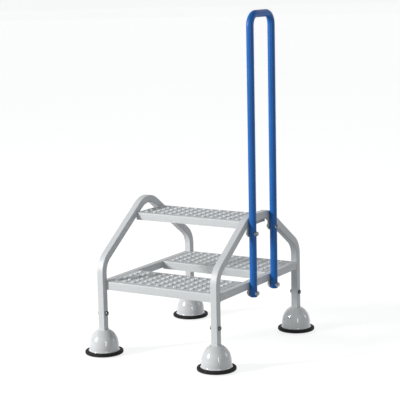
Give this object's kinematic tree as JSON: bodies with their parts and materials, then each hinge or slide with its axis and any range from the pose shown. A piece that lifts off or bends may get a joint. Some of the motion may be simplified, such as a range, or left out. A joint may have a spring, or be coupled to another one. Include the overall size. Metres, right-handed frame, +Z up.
{
  "type": "mounting block",
  "caption": "Free-standing riding mounting block: square-tube frame, low treads before and behind a high one, tall loop handrail, domed rubber-ringed feet with retracting castors.",
  "frame": {"origin": "on the floor below the centre of the four feet, at the wheels' contact height", "axes": "+Z up, +X towards the handrail side, -Y towards the front lower tread"},
  "size_m": [0.576, 0.699, 1.158],
  "materials": {
    "grey_coat": "satin powder coat",
    "dome_enamel": "gloss",
    "blue_coat": "satin gloss powder coat",
    "ring_rubber": "matte",
    "tyre_rubber": "matte",
    "hub_plastic": "matte",
    "bush_plastic": "matte",
    "spring_steel": "oiled",
    "zinc": "zinc plated",
    "plated_steel": "bright zinc plated"
  },
  "bodies": {
    "frame": {"castor_spring_front_left": "spring_steel", "castor_spring_front_right": "spring_steel", "castor_spring_rear_left": "spring_steel", "castor_spring_rear_right": "spring_steel", "foot_dome_front_left": "dome_enamel", "foot_dome_front_right": "dome_enamel", "foot_dome_rear_left": "dome_enamel", "foot_dome_rear_right": "dome_enamel", "foot_spigot_front_left": "plated_steel", "foot_spigot_front_right": "plated_steel", "foot_spigot_rear_left": "plated_steel", "foot_spigot_rear_right": "plated_steel", "front_lower_tread": "grey_coat", "guide_bush_front_left": "bush_plastic", "guide_bush_front_right": "bush_plastic", "guide_bush_rear_left": "bush_plastic", "guide_bush_rear_right": "bush_plastic", "handrail": "blue_coat", "handrail_bolts": "zinc", "handrail_lower_lugs": "grey_coat", "handrail_nuts": "zinc", "handrail_saddle_washers": "zinc", "handrail_upper_lugs": "grey_coat", "left_lower_rail": "grey_coat", "left_side_frame": "grey_coat", "leg_bolts": "zinc", "leg_nuts": "zinc", "rear_lower_tread": "grey_coat", "right_lower_rail": "grey_coat", "right_side_frame": "grey_coat", "rubber_ring_front_left": "ring_rubber", "rubber_ring_front_right": "ring_rubber", "rubber_ring_rear_left": "ring_rubber", "rubber_ring_rear_right": "ring_rubber", "spring_seats": "plated_steel", "top_tread": "grey_coat"},
    "plunger_front_left": {"castor_plunger_front_left": "plated_steel"},
    "fork_front_left": {"castor_fork_front_left": "plated_steel", "castor_axle_front_left": "plated_steel"},
    "wheel_front_left": {"castor_hub_front_left": "hub_plastic", "castor_tyre_front_left": "tyre_rubber"},
    "plunger_front_right": {"castor_plunger_front_right": "plated_steel"},
    "fork_front_right": {"castor_fork_front_right": "plated_steel", "castor_axle_front_right": "plated_steel"},
    "wheel_front_right": {"castor_hub_front_right": "hub_plastic", "castor_tyre_front_right": "tyre_rubber"},
    "plunger_rear_left": {"castor_plunger_rear_left": "plated_steel"},
    "fork_rear_left": {"castor_fork_rear_left": "plated_steel", "castor_axle_rear_left": "plated_steel"},
    "wheel_rear_left": {"castor_hub_rear_left": "hub_plastic", "castor_tyre_rear_left": "tyre_rubber"},
    "plunger_rear_right": {"castor_plunger_rear_right": "plated_steel"},
    "fork_rear_right": {"castor_fork_rear_right": "plated_steel", "castor_axle_rear_right": "plated_steel"},
    "wheel_rear_right": {"castor_hub_rear_right": "hub_plastic", "castor_tyre_rear_right": "tyre_rubber"}
  },
  "joints": [
    {"name": "castor_slide_front_left", "type": "slide", "parent": "frame", "child": "plunger_front_left", "axis": [0, 0, 1], "range_m": [0, 0.006], "stiffness_N_per_m": 6000, "springref_m": -0.01, "deforming": ["castor_spring_front_left"]},
    {"name": "castor_swivel_front_left", "type": "hinge", "parent": "plunger_front_left", "child": "fork_front_left", "pos_m": [-0.2225, -0.284, 0.0445], "axis": [0, 0, 1], "continuous": true},
    {"name": "wheel_roll_front_left", "type": "hinge", "parent": "fork_front_left", "child": "wheel_front_left", "pos_m": [-0.2225, -0.27, 0.019], "axis": [1, 0, 0], "continuous": true},
    {"name": "castor_slide_front_right", "type": "slide", "parent": "frame", "child": "plunger_front_right", "axis": [0, 0, 1], "range_m": [0, 0.006], "stiffness_N_per_m": 6000, "springref_m": -0.01, "deforming": ["castor_spring_front_right"]},
    {"name": "castor_swivel_front_right", "type": "hinge", "parent": "plunger_front_right", "child": "fork_front_right", "pos_m": [0.2225, -0.284, 0.0445], "axis": [0, 0, 1], "continuous": true},
    {"name": "wheel_roll_front_right", "type": "hinge", "parent": "fork_front_right", "child": "wheel_front_right", "pos_m": [0.2225, -0.27, 0.019], "axis": [1, 0, 0], "continuous": true},
    {"name": "castor_slide_rear_left", "type": "slide", "parent": "frame", "child": "plunger_rear_left", "axis": [0, 0, 1], "range_m": [0, 0.006], "stiffness_N_per_m": 6000, "springref_m": -0.01, "deforming": ["castor_spring_rear_left"]},
    {"name": "castor_swivel_rear_left", "type": "hinge", "parent": "plunger_rear_left", "child": "fork_rear_left", "pos_m": [-0.2225, 0.284, 0.0445], "axis": [0, 0, 1], "continuous": true},
    {"name": "wheel_roll_rear_left", "type": "hinge", "parent": "fork_rear_left", "child": "wheel_rear_left", "pos_m": [-0.2225, 0.298, 0.019], "axis": [1, 0, 0], "continuous": true},
    {"name": "castor_slide_rear_right", "type": "slide", "parent": "frame", "child": "plunger_rear_right", "axis": [0, 0, 1], "range_m": [0, 0.006], "stiffness_N_per_m": 6000, "springref_m": -0.01, "deforming": ["castor_spring_rear_right"]},
    {"name": "castor_swivel_rear_right", "type": "hinge", "parent": "plunger_rear_right", "child": "fork_rear_right", "pos_m": [0.2225, 0.284, 0.0445], "axis": [0, 0, 1], "continuous": true},
    {"name": "wheel_roll_rear_right", "type": "hinge", "parent": "fork_rear_right", "child": "wheel_rear_right", "pos_m": [0.2225, 0.298, 0.019], "axis": [1, 0, 0], "continuous": true}
  ]
}
